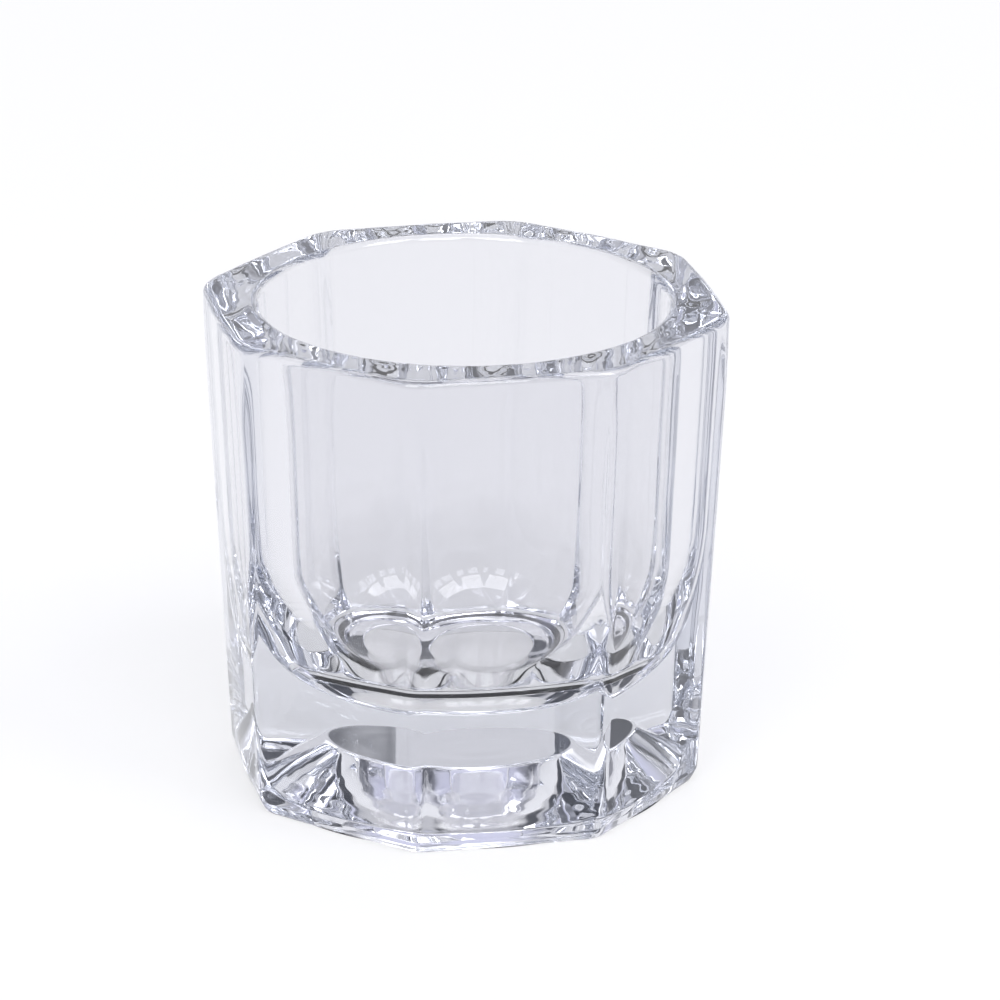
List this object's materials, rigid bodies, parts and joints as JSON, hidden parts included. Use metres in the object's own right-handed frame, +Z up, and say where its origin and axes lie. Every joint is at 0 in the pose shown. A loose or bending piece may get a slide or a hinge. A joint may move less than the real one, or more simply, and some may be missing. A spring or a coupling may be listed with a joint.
{
  "type": "dappen dish",
  "caption": "Small eight-sided clear glass cup with a round well and a thick base, for nail liquid during acrylic work.",
  "frame": {"origin": "centre of the foot's resting face", "axes": "+Z up out of the mouth, along the axis of the round well; two of the eight sides face +X and -X, and two face +Y and -Y"},
  "size_m": [0.03, 0.03, 0.03],
  "materials": {
    "clear_glass": "polished pressed glass, colourless"
  },
  "bodies": {
    "root": {"dish": "clear_glass"}
  },
  "joints": []
}
